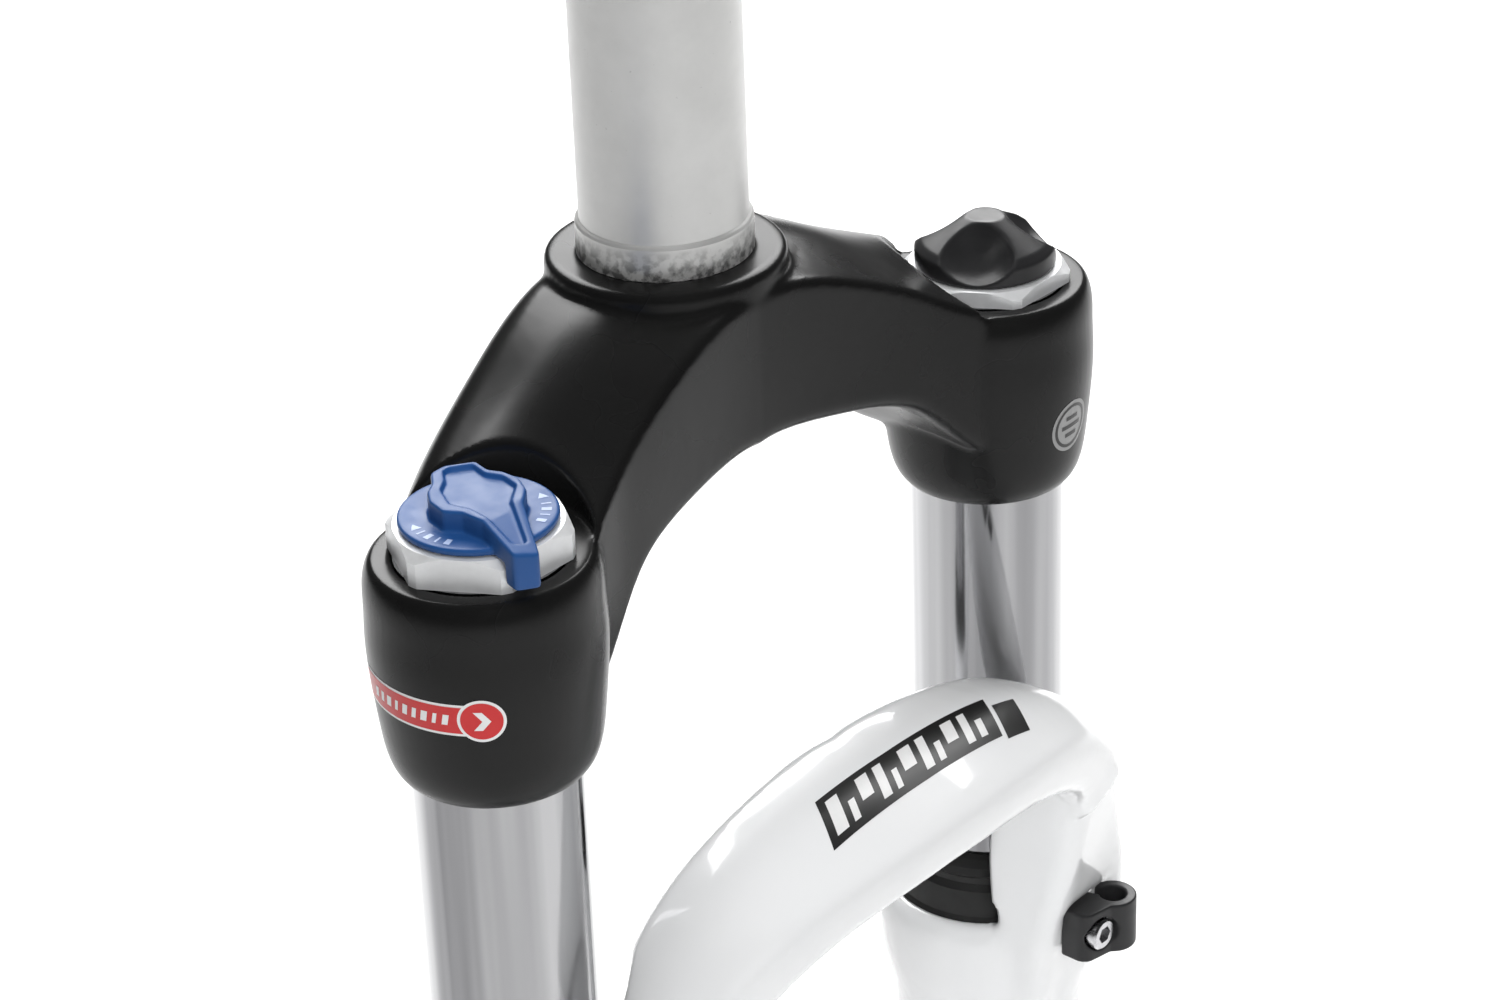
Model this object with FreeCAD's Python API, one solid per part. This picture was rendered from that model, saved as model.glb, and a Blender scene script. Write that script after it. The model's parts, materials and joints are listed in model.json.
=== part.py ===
import FreeCAD, Part

import math
import os

from FreeCAD import Placement, Rotation, Vector

# Suspension fork with 28 mm stanchions, 63 mm of travel and a one-piece disc brake casting.
# Millimetres. +Z runs up the steerer and the fork faces -Y, so +X is the rider's left.
# The origin is on the steerer axis, at the base of the crown race seat.

# Steerer and crown
STEERER_R = 14.3
STEERER_BORE_R = 12.2
STEERER_TOP = 255.0
RACE_SEAT_R = 15.0
RACE_SEAT_TOP = 5.9
CROWN_BOSS_R = 20.5
CROWN_BOTTOM = -29.0

# Legs: the rider's left leg is at +LEG_X, and both are in front of the steerer axis
LEG_X = 64.0
LEG_Y = -17.5
STANCHION_R = 14.0
STANCHION_BORE_R = 12.6
STANCHION_BOTTOM = -335.0
CROWN_LEG_TOP = -24.5
CROWN_LEG_BOTTOM = -63.0
POCKET_R = 18.2

# Top caps
CAP_FLATS = 27.0
CAP_CORNER_R = 15.1
CAP_PLUG_R = 12.5
CAP_PLUG_BOTTOM = -42.0
CAP_BORE_R = 4.05
LOCKOUT_CAP_TOP = -19.0
PRELOAD_CAP_TOP = -21.6
O_RING_MIDDLE = -28.0
O_RING_HALF = 0.8
O_RING_ROOT_R = 11.2

# Lockout dial and damper
DIAL_R = 12.8
DIAL_BOTTOM = -18.8
DIAL_TOP = -17.5
LEVER_TOP = -13.8
LEVER_RECESS_DEPTH = 0.9
LEVER_SLOPE_START = -7.5
LEVER_SLOPE_LENGTH = 11.0
LEVER_TIP_TOP = -16.4
LEVER_TIP_BOTTOM = -22.4
SPINDLE_R = 4.0
SPINDLE_TOP = -15.6
VALVE_STEM_R = 3.0
VALVE_TOP = -96.0
CARTRIDGE_R = 12.0
CARTRIDGE_BORE_R = 10.8
CARTRIDGE_BOTTOM = -312.0
CAP_NOSE_BOTTOM = -52.0
SEAL_HEAD_TOP = -296.0
ROD_R = 5.0

# Spring side
KNOB_R = 12.6
KNOB_BOTTOM = -21.5
KNOB_TOP = -12.6
SCOOP_R = 9.8
SPRING_R = 10.4
SPRING_WIRE_R = 1.7
SPRING_TURNS = 13
PRELOAD_NUT_TOP = -52.0
PRELOAD_NUT_FLANGE_BOTTOM = -57.0
CAP_SKIRT_BORE_R = 9.0
KEY_WIDTH = 5.8
LOWER_SEAT_TOP = -262.0
SUPPORT_ROD_R = 5.0
END_PLUG_TOP = -318.0
ROD_BORE_R = 5.08

# Lower legs
CASTING_TOP = -150.5
LEG_OUTER_R = 17.9
CASTING_BORE_R = 16.0
WIPER_TOP = -138.5
WIPER_SEAT_R = 17.0
WIPER_SEAT_BOTTOM = -158.0
FOAM_BOTTOM = -168.0
BORE_FLOOR = -430.0
BUMPER_TOP = -398.6
LEG_BOTTOM = -456.0
FOOT_RECESS_R = 9.0
FOOT_RECESS_TOP = -446.0
FOOT_BOLT_R = 4.0
CROWN_CLEARANCE_R = 20.2
BUSHING_LENGTH = 22.0
UPPER_BUSHING_TOP = -168.5
LOWER_BUSHING_TOP = -275.0
BUSHING_BORE_R = STANCHION_R + 0.05

# Wheel and brake
AXLE_Y = -46.0
AXLE_Z = -470.0
AXLE_SLOT_R = 4.6
DROPOUT_INNER_X = 50.0
DROPOUT_OUTER_X = 60.0
DROPOUT_R = 16.5
LIP_R = 10.0
LIP_DEPTH = 1.6
BRAKE_BOLT_SPACING = 74.2
BRAKE_LOWER_Z = -461.0
BRAKE_POST_X = 56.0
BRAKE_POST_R = 7.5
BRAKE_FACE_Y = 8.0
BRAKE_THREAD_R = 2.5
BRAKE_THREAD_DEPTH = 16.0

# Hose guide on the front of the left leg
GUIDE_SCREW_X = 59.6
GUIDE_Z = -150.4
GUIDE_BACK_Y = -41.4
GUIDE_FRONT_Y = -47.2
GUIDE_LEFT_X = 55.4
GUIDE_HEIGHT = 10.5
HOSE_R = 2.5
HOSE_X = 65.6
HOSE_Y = -46.0
GUIDE_WALL = 2.0
GUIDE_THREAD_R = 1.75
GUIDE_HEAD_R = 3.1
GUIDE_HEAD_HEIGHT = 3.4

X_AXIS = Vector(1, 0, 0)
Y_AXIS = Vector(0, 1, 0)
Z_AXIS = Vector(0, 0, 1)


def save(name, shape):
    """Write one sub-part to its own STEP file."""
    shape.exportStep("parts/" + name + ".step")


def rod(radius, bottom, top, x=0.0, y=0.0):
    """An upright cylinder."""
    return Part.makeCylinder(radius, top - bottom, Vector(x, y, bottom))


def tube(outer, inner, bottom, top, x=0.0, y=0.0):
    """An upright tube."""
    return rod(outer, bottom, top, x, y).cut(rod(inner, bottom - 1, top + 1, x, y))


def cross_rod(radius, start, direction, length):
    """A cylinder along any direction."""
    return Part.makeCylinder(radius, length, start, direction)


def block(x0, x1, y0, y1, z0, z1):
    """A box between two corners."""
    return Part.makeBox(x1 - x0, y1 - y0, z1 - z0, Vector(x0, y0, z0))


def turned(profile, x=0.0, y=0.0):
    """A solid turned about an upright axis from a closed outline of (radius, height) points."""
    points = [Vector(x + radius, y, height) for radius, height in profile]
    face = Part.Face(Part.makePolygon(points + points[:1]))
    return face.revolve(Vector(x, y, 0), Z_AXIS, 360)


def turned_smooth(profile, x=0.0, y=0.0):
    """Like turned, but the outer points lie on one smooth curve, closed along the axis."""
    points = [Vector(x + radius, y, height) for radius, height in profile]
    curve = Part.BSplineCurve()
    curve.interpolate(points)
    top = Vector(x, y, profile[0][1])
    bottom = Vector(x, y, profile[-1][1])
    edges = [curve.toShape(), Part.makeLine(points[-1], bottom), Part.makeLine(bottom, top)]
    edges.append(Part.makeLine(top, points[0]))
    face = Part.Face(Part.Wire(edges))
    return face.revolve(Vector(x, y, 0), Z_AXIS, 360)


def rounded_loop(corners, radii):
    """A closed wire through corner points, with an arc of the given radius at each corner."""
    count = len(corners)
    arcs = []
    for i, corner in enumerate(corners):
        back = (corners[i - 1] - corner).normalize()
        ahead = (corners[(i + 1) % count] - corner).normalize()
        half = back.getAngle(ahead) / 2
        reach = radii[i] / math.tan(half)
        inward = (back + ahead).normalize()
        middle = corner + inward * (radii[i] / math.sin(half) - radii[i])
        arcs.append((corner + back * reach, middle, corner + ahead * reach))
    edges = []
    for i, (start, middle, end) in enumerate(arcs):
        edges.append(Part.makeLine(arcs[i - 1][2], start))
        edges.append(Part.Arc(start, middle, end).toShape())
    return Part.Wire(edges)


def mirrored(shape):
    """The same piece on the other leg."""
    return shape.mirror(Vector(0, 0, 0), X_AXIS)


def both(shape):
    """A piece and its mirror image as one group of separate solids."""
    return Part.makeCompound([shape, mirrored(shape)])


# Crown

# Arm section at each distance from the middle: (y, z) of the rear top edge, the crest,
# the front ridge, the front lower edge and the rear lower edge.
ARM_SECTIONS = [
    (0.0, (18.2, -2.4), (-4.0, -1.8), (-20.6, -4.2), (-20.6, -31.8), (17.0, -31.8)),
    (12.0, (17.6, -1.8), (-4.0, -1.9), (-21.5, -5.0), (-21.3, -32.3), (16.4, -32.2)),
    (24.0, (15.4, -4.2), (-5.0, -3.7), (-22.9, -9.5), (-23.2, -34.2), (14.4, -34.6)),
    (36.0, (13.0, -10.1), (-7.0, -8.6), (-24.8, -15.4), (-25.8, -38.4), (11.6, -39.4)),
    (48.0, (10.2, -16.0), (-9.5, -13.8), (-28.6, -22.4), (-28.8, -50.0), (6.4, -50.6)),
    (60.0, (5.4, -20.6), (-12.5, -18.8), (-33.0, -26.0), (-31.5, -56.0), (0.0, -56.0)),
    (70.0, (-1.0, -24.2), (-15.0, -24.0), (-32.0, -26.5), (-30.0, -57.0), (-5.0, -57.0)),
]
ARM_RADII = (8.0, 30.0, 1.6, 2.5, 6.0)

# Outline of the part of the crown around each leg, from its top rim down: (radius, height)
SLEEVE_PROFILE = [
    (17.7, CROWN_LEG_TOP),
    (18.6, -26.2),
    (19.2, -32.0),
    (19.4, -38.0),
    (19.0, -46.0),
    (18.3, -53.0),
    (17.5, -58.4),
    (16.5, -61.2),
    (15.0, CROWN_LEG_BOTTOM),
]


def arm_section(distance, points):
    """One rounded section through the crown arm."""
    corners = [Vector(distance, y, z) for y, z in points]
    return rounded_loop(corners, ARM_RADII)


def crown_arm():
    """One arm, lofted from the middle of the crown out over the leg."""
    return Part.makeLoft([arm_section(row[0], row[1:]) for row in ARM_SECTIONS], True, False)


def crown():
    """The forged crown: boss, two arms and two sleeves, bored for the steerer and stanchions."""
    boss = rod(CROWN_BOSS_R, CROWN_BOTTOM, 0.0)
    boss = boss.makeChamfer(0.8, [edge for edge in boss.Edges if edge.BoundBox.ZMin > -0.1])
    arm = crown_arm()
    sleeve = turned_smooth(SLEEVE_PROFILE, LEG_X, LEG_Y)
    body = boss.fuse([arm, mirrored(arm), sleeve, mirrored(sleeve)])
    pocket = rod(POCKET_R, CROWN_LEG_TOP, 5.0, LEG_X, LEG_Y)
    bore = rod(STANCHION_R, -80.0, 5.0, LEG_X, LEG_Y)
    above = rod(60.0, 0.0, 5.0)
    steerer_bore = rod(STEERER_R, -80.0, 5.0)
    cuts = [pocket, mirrored(pocket), bore, mirrored(bore), steerer_bore, above]
    for cut in cuts:
        body = body.cut(cut)
    return body


def steerer_tube():
    """Steel steerer with the raised crown race seat at its foot."""
    profile = [
        (STEERER_BORE_R, CROWN_BOTTOM),
        (STEERER_R, CROWN_BOTTOM),
        (STEERER_R, 0.0),
        (RACE_SEAT_R, 0.0),
        (RACE_SEAT_R, RACE_SEAT_TOP - 0.4),
        (RACE_SEAT_R - 0.3, RACE_SEAT_TOP),
        (STEERER_R, RACE_SEAT_TOP + 0.3),
        (STEERER_R, STEERER_TOP - 0.6),
        (STEERER_R - 0.6, STEERER_TOP),
        (STEERER_BORE_R, STEERER_TOP),
    ]
    return turned(profile)


def stanchion():
    """Chromed upper tube, pressed into the crown."""
    profile = [
        (STANCHION_BORE_R, STANCHION_BOTTOM),
        (STANCHION_R - 0.6, STANCHION_BOTTOM),
        (STANCHION_R, STANCHION_BOTTOM + 1.2),
        (STANCHION_R, CROWN_LEG_TOP),
        (STANCHION_BORE_R, CROWN_LEG_TOP),
    ]
    return turned(profile, LEG_X, LEG_Y)


# Top caps


def hexagon(flats, bottom, top):
    """An upright hexagonal prism on the origin, with two flats facing front and back."""
    radius = flats / math.sqrt(3)
    corners = []
    for i in range(6):
        turn = math.radians(60 * i)
        corners.append(Vector(radius * math.cos(turn), radius * math.sin(turn), bottom))
    face = Part.Face(Part.makePolygon(corners + corners[:1]))
    return face.extrude(Vector(0, 0, top - bottom))


def cap_head(top):
    """Hexagon head with its corners turned off and its upper edge chamfered."""
    profile = [
        (0.0, CROWN_LEG_TOP),
        (CAP_CORNER_R, CROWN_LEG_TOP),
        (CAP_CORNER_R, top - 1.3),
        (CAP_CORNER_R - 1.5, top),
        (0.0, top),
    ]
    return hexagon(CAP_FLATS, CROWN_LEG_TOP, top).common(turned(profile))


def cap_plug(lowest):
    """Threaded plug below the head, with the O-ring groove and the bore for the spindle."""
    plug = rod(CAP_PLUG_R, lowest, CROWN_LEG_TOP)
    low = O_RING_MIDDLE - O_RING_HALF
    high = O_RING_MIDDLE + O_RING_HALF
    return plug.cut(tube(CAP_PLUG_R + 1, O_RING_ROOT_R, low, high))


def lockout_top_cap():
    """Right cap: the damper cartridge is hung from its nose."""
    nose = rod(CARTRIDGE_BORE_R, CAP_NOSE_BOTTOM, CAP_PLUG_BOTTOM)
    cap = cap_head(LOCKOUT_CAP_TOP).fuse([cap_plug(CAP_PLUG_BOTTOM), nose])
    cap = cap.cut(rod(CAP_BORE_R, -60.0, 0.0))
    cap.translate(Vector(-LEG_X, LEG_Y, 0))
    return cap.removeSplitter()


def preload_top_cap():
    """Left cap: two keyways below the thread stop the preload nut from turning."""
    cap = cap_head(PRELOAD_CAP_TOP).fuse(cap_plug(CAP_PLUG_BOTTOM))
    cap = cap.cut(rod(CAP_BORE_R, -60.0, 0.0))
    skirt = tube(CAP_PLUG_R, CAP_SKIRT_BORE_R, PRELOAD_NUT_TOP + 0.3, CAP_PLUG_BOTTOM)
    half = KEY_WIDTH / 2 + 0.2
    skirt = skirt.cut(block(-half, half, -20.0, 20.0, PRELOAD_NUT_TOP, CAP_PLUG_BOTTOM))
    cap = cap.fuse(skirt)
    cap.translate(Vector(LEG_X, LEG_Y, 0))
    return cap.removeSplitter()


def top_cap_o_rings():
    """Sealing ring in the groove of each cap."""
    low = O_RING_MIDDLE - O_RING_HALF
    high = O_RING_MIDDLE + O_RING_HALF
    return both(tube(STANCHION_BORE_R, O_RING_ROOT_R, low, high, LEG_X, LEG_Y))


# Lockout dial and damper, in the right leg

# Outline of the lever seen from above, from the axis of the leg
LEVER_OUTLINE = [
    (-0.2, 10.0),
    (2.8, 10.1),
    (7.0, 7.2),
    (6.2, 3.6),
    (7.2, 1.2),
    (7.2, -2.2),
    (5.2, -5.8),
    (1.8, -8.4),
    (-5.6, -18.8),
    (-9.0, -16.5),
    (-6.6, -7.8),
    (-6.6, -3.4),
    (-8.2, -0.6),
    (-7.1, 3.4),
    (-5.0, 6.0),
    (-2.8, 7.2),
]

# Outline of the recess in its upper face
LEVER_RECESS = [
    (1.4, 8.8),
    (2.8, 8.8),
    (5.9, 6.7),
    (4.9, 3.2),
    (6.0, 0.2),
    (5.2, -3.4),
    (1.0, -6.4),
    (-5.0, -15.4),
    (-6.8, -14.4),
    (-5.2, -8.0),
    (-4.6, -3.4),
    (-5.6, 0.4),
    (-3.2, 4.7),
    (-0.6, 6.4),
]


def lever_prism(outline, radius):
    """An upright prism, taller than the lever."""
    corners = [Vector(x, y, LEVER_TIP_BOTTOM) for x, y in outline]
    face = Part.Face(rounded_loop(corners, [radius] * len(corners)))
    return face.extrude(Vector(0, 0, LEVER_TOP + 2 - LEVER_TIP_BOTTOM))


def space_above(depth):
    """Everything above the lever's upper surface, or above the same surface sunk by depth."""
    level = LEVER_TOP - depth
    fall = (LEVER_TOP - LEVER_TIP_TOP) / LEVER_SLOPE_LENGTH
    side = [
        Vector(-20, LEVER_SLOPE_START, level),
        Vector(-20, 40, level),
        Vector(-20, 40, 20),
        Vector(-20, -40, 20),
        Vector(-20, -40, level - fall * (40 + LEVER_SLOPE_START)),
    ]
    return Part.Face(Part.makePolygon(side + side[:1])).extrude(Vector(40, 0, 0))


def lockout_knob():
    """Dial and lever in one moulding: the lever's tip hangs down over the edge of the cap."""
    dial = rod(DIAL_R, DIAL_BOTTOM, DIAL_TOP)
    under = rod(CAP_CORNER_R + 0.5, LEVER_TIP_BOTTOM - 1, DIAL_BOTTOM)
    lever = lever_prism(LEVER_OUTLINE, 0.7).cut(under).cut(space_above(0))
    recess = lever_prism(LEVER_RECESS, 0.5).common(space_above(LEVER_RECESS_DEPTH))
    knob = dial.fuse(lever.cut(recess))
    knob = knob.cut(rod(SPINDLE_R, DIAL_BOTTOM - 1, SPINDLE_TOP))
    knob.translate(Vector(-LEG_X, LEG_Y, 0))
    return knob.removeSplitter()


def lockout_valve_rod():
    """Spindle under the lever, with the rotary valve plate at its lower end."""
    profile = [
        (0.0, SPINDLE_TOP),
        (SPINDLE_R, SPINDLE_TOP),
        (SPINDLE_R, CAP_NOSE_BOTTOM - 2.0),
        (VALVE_STEM_R, CAP_NOSE_BOTTOM - 3.0),
        (VALVE_STEM_R, VALVE_TOP + 0.3),
        (0.0, VALVE_TOP + 0.3),
    ]
    stem = turned(profile)
    plate = rod(8.0, VALVE_TOP + 0.3, VALVE_TOP + 2.3)
    for side in (-1, 1):
        plate = plate.cut(rod(1.8, VALVE_TOP - 1, VALVE_TOP + 3, side * 5.2, 0.0))
    body = stem.fuse(plate)
    body.translate(Vector(-LEG_X, LEG_Y, 0))
    return body.removeSplitter()


def lockout_valve_body():
    """Ported disc fixed across the cartridge, which the valve plate opens and shuts."""
    disc = rod(CARTRIDGE_BORE_R, VALVE_TOP - 7.0, VALVE_TOP)
    for turn in range(0, 360, 90):
        angle = math.radians(turn)
        disc = disc.cut(rod(1.6, -120, -80, 5.2 * math.cos(angle), 5.2 * math.sin(angle)))
    disc.translate(Vector(-LEG_X, LEG_Y, 0))
    return disc


def damper_cartridge():
    """Sealed tube that holds the damping oil."""
    return tube(CARTRIDGE_R, CARTRIDGE_BORE_R, CARTRIDGE_BOTTOM, CAP_PLUG_BOTTOM, -LEG_X, LEG_Y)


def damper_seal_head():
    """Guide that closes the cartridge's lower end round the damper rod."""
    head = rod(CARTRIDGE_BORE_R, CARTRIDGE_BOTTOM, SEAL_HEAD_TOP)
    flange = rod(STANCHION_BORE_R, CARTRIDGE_BOTTOM - 6.0, CARTRIDGE_BOTTOM)
    head = head.fuse(flange).cut(rod(ROD_BORE_R, -330.0, -280.0))
    head = head.cut(rod(6.8, SEAL_HEAD_TOP - 5.0, SEAL_HEAD_TOP + 1.0))
    head.translate(Vector(-LEG_X, LEG_Y, 0))
    return head.removeSplitter()


def damper_rod_seal():
    """Lip seal in the top of the seal head."""
    return tube(6.8, ROD_BORE_R, SEAL_HEAD_TOP - 5.0, SEAL_HEAD_TOP, -LEG_X, LEG_Y)


PISTON_TOP = -215.0
PISTON_BOTTOM = -225.0


def damper_rod():
    """Rod that carries the piston and is bolted to the foot of the right leg."""
    shaft = rod(ROD_R, BORE_FLOOR, PISTON_BOTTOM)
    neck = rod(3.0, PISTON_BOTTOM, PISTON_TOP + 6.0)
    shaft = shaft.fuse(neck).cut(rod(FOOT_BOLT_R - 0.8, BORE_FLOOR - 1, BORE_FLOOR + 16.0))
    shaft.translate(Vector(-LEG_X, LEG_Y, 0))
    return shaft.removeSplitter()


def damper_piston():
    """Ported piston with a groove for its ring."""
    piston = tube(CARTRIDGE_BORE_R - 0.3, 3.0, PISTON_BOTTOM, PISTON_TOP)
    piston = piston.cut(tube(CARTRIDGE_BORE_R, 9.2, PISTON_BOTTOM + 3.0, PISTON_TOP - 3.0))
    for turn in range(0, 360, 60):
        angle = math.radians(turn)
        port = rod(1.2, PISTON_BOTTOM - 1, PISTON_TOP + 1)
        port.translate(Vector(6.0 * math.cos(angle), 6.0 * math.sin(angle), 0))
        piston = piston.cut(port)
    piston.translate(Vector(-LEG_X, LEG_Y, 0))
    return piston


def damper_piston_ring():
    """Sliding ring round the piston."""
    outer = CARTRIDGE_BORE_R - 0.05
    return tube(outer, 9.2, PISTON_BOTTOM + 3.0, PISTON_TOP - 3.0, -LEG_X, LEG_Y)


def damper_piston_nut():
    """Nut that holds the piston on the rod."""
    nut = hexagon(9.0, PISTON_TOP, PISTON_TOP + 5.0).cut(rod(3.0, -230.0, -200.0))
    nut.translate(Vector(-LEG_X, LEG_Y, 0))
    return nut


# Spring side, in the left leg


def preload_knob():
    """Three-lobed knob, scooped out on three sides so that fingers can grip it."""
    profile = [
        (0.0, KNOB_BOTTOM),
        (KNOB_R, KNOB_BOTTOM),
        (KNOB_R, KNOB_BOTTOM + 3.4),
        (KNOB_R - 1.2, KNOB_BOTTOM + 4.6),
        (3.4, KNOB_TOP),
        (0.0, KNOB_TOP),
    ]
    knob = turned(profile)
    for turn in (90, 210, 330):
        angle = math.radians(turn)
        out = KNOB_R + 0.6
        centre = Vector(out * math.cos(angle), out * math.sin(angle), KNOB_TOP + 1.6)
        knob = knob.cut(Part.makeSphere(SCOOP_R, centre))
    knob = knob.cut(rod(SPINDLE_R, KNOB_BOTTOM - 1, KNOB_BOTTOM + 5.0))
    knob.translate(Vector(LEG_X, LEG_Y, 0))
    return knob


def preload_spindle():
    """Threaded spindle turned by the knob."""
    profile = [
        (0.0, KNOB_BOTTOM + 5.0),
        (SPINDLE_R, KNOB_BOTTOM + 5.0),
        (SPINDLE_R, CAP_PLUG_BOTTOM - 0.3),
        (5.6, CAP_PLUG_BOTTOM - 0.3),
        (5.6, CAP_PLUG_BOTTOM - 1.8),
        (3.2, CAP_PLUG_BOTTOM - 1.8),
        (3.2, PRELOAD_NUT_FLANGE_BOTTOM - 12.0),
        (0.0, PRELOAD_NUT_FLANGE_BOTTOM - 12.0),
    ]
    return turned(profile, LEG_X, LEG_Y)


def preload_nut():
    """Nut that the spindle drives down on to the spring; its two keys slide in the cap."""
    nut = rod(12.2, PRELOAD_NUT_FLANGE_BOTTOM, PRELOAD_NUT_TOP)
    nut = nut.fuse(rod(6.6, PRELOAD_NUT_FLANGE_BOTTOM - 8.0, PRELOAD_NUT_FLANGE_BOTTOM))
    half = KEY_WIDTH / 2
    keys = block(-half, half, -20.0, 20.0, PRELOAD_NUT_TOP, CAP_PLUG_BOTTOM - 0.3)
    keys = keys.common(tube(12.2, CAP_SKIRT_BORE_R + 0.3, PRELOAD_NUT_TOP, CAP_PLUG_BOTTOM))
    nut = nut.fuse(keys).cut(rod(3.25, -80.0, -40.0))
    nut.translate(Vector(LEG_X, LEG_Y, 0))
    return nut.removeSplitter()


def coil(radius, wire_radius, bottom, top, turns):
    """A coil spring round the left leg's axis, lying between two heights."""
    height = top - bottom - 2 * wire_radius
    helix = Part.makeHelix(height / turns, height, radius)
    start = Vector(radius, 0, 0)
    circle = Part.Wire(Part.makeCircle(wire_radius, start, Y_AXIS))
    spring = Part.Wire(helix.Edges).makePipeShell([circle], True, True)
    spring.translate(Vector(LEG_X, LEG_Y, bottom + wire_radius))
    return spring


def main_spring():
    """The fork's coil spring, between the preload nut and the seat on the support rod."""
    bottom = LOWER_SEAT_TOP + 0.2
    top = PRELOAD_NUT_FLANGE_BOTTOM - 0.2
    return coil(SPRING_R, SPRING_WIRE_R, bottom, top, SPRING_TURNS)


def spring_lower_seat():
    """Seat on top of the support rod."""
    seat = rod(12.2, LOWER_SEAT_TOP - 6.0, LOWER_SEAT_TOP)
    seat = seat.fuse(rod(7.6, LOWER_SEAT_TOP, LOWER_SEAT_TOP + 9.0))
    seat = seat.cut(rod(SUPPORT_ROD_R, LOWER_SEAT_TOP - 7.0, LOWER_SEAT_TOP + 5.0))
    seat.translate(Vector(LEG_X, LEG_Y, 0))
    return seat.removeSplitter()


def spring_support_rod():
    """Rod that stands on the foot of the left leg and carries the spring."""
    shaft = rod(SUPPORT_ROD_R, BORE_FLOOR, LOWER_SEAT_TOP + 5.0)
    shaft = shaft.cut(rod(FOOT_BOLT_R - 0.8, BORE_FLOOR - 1, BORE_FLOOR + 16.0))
    shaft.translate(Vector(LEG_X, LEG_Y, 0))
    return shaft


def stanchion_end_plug():
    """Guide crimped into the lower end of the left stanchion, round the support rod."""
    plug = rod(STANCHION_BORE_R, STANCHION_BOTTOM + 3.0, END_PLUG_TOP)
    plug = plug.cut(rod(ROD_BORE_R, -340.0, -310.0))
    plug.translate(Vector(LEG_X, LEG_Y, 0))
    return plug


def topout_spring():
    """Short spring on the end plug that cushions the fork as it extends."""
    bottom = END_PLUG_TOP + 0.2
    top = LOWER_SEAT_TOP - 6.2
    return coil(9.0, 1.4, bottom, top, 6)


# Lower legs

# Outline of one lower leg, from its top rim down: (radius, height)
LOWER_LEG_PROFILE = [
    (19.3, CASTING_TOP),
    (21.0, -152.6),
    (21.3, -159.0),
    (20.4, -166.5),
    (18.9, -173.0),
    (18.1, -180.0),
    (LEG_OUTER_R, -190.0),
    (LEG_OUTER_R, -300.0),
    (LEG_OUTER_R, -400.0),
    (17.6, -425.0),
    (16.6, -442.0),
    (14.6, -451.0),
    (12.4, LEG_BOTTOM),
]

# The brace between the legs. Each row is a section: its middle (x, y, z), the lean of its
# normal away from upright, its half width front to back, its half thickness and its tilt.
BRACE_SECTIONS = [
    (0.0, -46.6, -90.4, 0.0, 15.6, 6.5, 11.0),
    (14.0, -46.4, -90.8, 3.0, 15.5, 6.5, 11.0),
    (28.0, -46.0, -93.0, 12.0, 14.4, 6.7, 10.0),
    (40.0, -45.0, -97.6, 25.0, 13.2, 7.0, 8.0),
    (49.5, -43.8, -105.0, 40.0, 11.6, 7.2, 6.0),
    (55.5, -42.6, -114.6, 55.0, 10.4, 7.6, 4.0),
]


def brace_section(row):
    """One rounded section of the brace."""
    x, y, z, lean, half_width, half_thickness, tilt = row
    placing = Placement(Vector(x, y, z), Rotation(Y_AXIS, lean).multiply(Rotation(X_AXIS, tilt)))
    corners = [
        Vector(0, half_width, -half_thickness),
        Vector(0, -half_width, -half_thickness),
        Vector(0, -half_width, half_thickness * 0.7),
        Vector(0, 0, half_thickness * 1.25),
        Vector(0, half_width, half_thickness * 0.7),
    ]
    wire = rounded_loop(corners, [3.5, 3.5, 4.5, 1.6 * half_width, 4.5])
    wire.Placement = placing
    return wire


def half_brace():
    """The brace from the middle of the fork to the left leg."""
    return Part.makeLoft([brace_section(row) for row in BRACE_SECTIONS], True, False)


# Sections of the brace's foot, which wraps the front of the left leg: height, then the
# corners in plan, inner rear, inner front, outer front and outer rear.
FOOT_SECTIONS = [
    (-110.0, (47.4, -34.0), (46.6, -52.4), (58.0, -50.0), (58.0, -35.0)),
    (-122.0, (46.6, -31.0), (48.0, -50.4), (68.4, -46.0), (70.0, -32.5)),
    (-136.0, (46.3, -27.5), (50.0, -46.5), (74.6, -42.6), (77.4, -29.0)),
    (-150.0, (45.6, -22.0), (51.0, -42.0), (77.4, -41.4), (81.6, -26.0)),
    (-166.0, (47.0, -22.0), (53.0, -37.8), (75.0, -37.5), (80.0, -24.0)),
    (-180.0, (50.0, -22.0), (55.0, -33.0), (73.0, -33.0), (77.0, -23.0)),
]


def foot_section(row):
    """One rounded section of the foot, seen from above."""
    corners = [Vector(x, y, row[0]) for x, y in row[1:]]
    return rounded_loop(corners, [2.0, 4.5, 6.0, 2.5])


def brace_foot():
    """The left foot of the brace."""
    return Part.makeLoft([foot_section(row) for row in FOOT_SECTIONS], True, False)


def hull_of_circles(circles, x0, x1):
    """A plate across X that joins circles given as (y, z, radius)."""
    plate = None
    for y, z, radius in circles:
        disc = cross_rod(radius, Vector(x0, y, z), X_AXIS, x1 - x0)
        plate = disc if plate is None else plate.fuse(disc)
    for first, second in zip(circles, circles[1:]):
        gap = math.hypot(second[0] - first[0], second[1] - first[1])
        heading = math.atan2(second[1] - first[1], second[0] - first[0])
        side = math.acos((first[2] - second[2]) / gap)
        corners = []
        for circle, turn in ((first, side), (second, side), (second, -side), (first, -side)):
            angle = heading + turn
            y = circle[0] + circle[2] * math.cos(angle)
            z = circle[1] + circle[2] * math.sin(angle)
            corners.append(Vector(x0, y, z))
        face = Part.Face(Part.makePolygon(corners + corners[:1]))
        plate = plate.fuse(face.extrude(Vector(x1 - x0, 0, 0)))
    return plate.removeSplitter()


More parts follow.
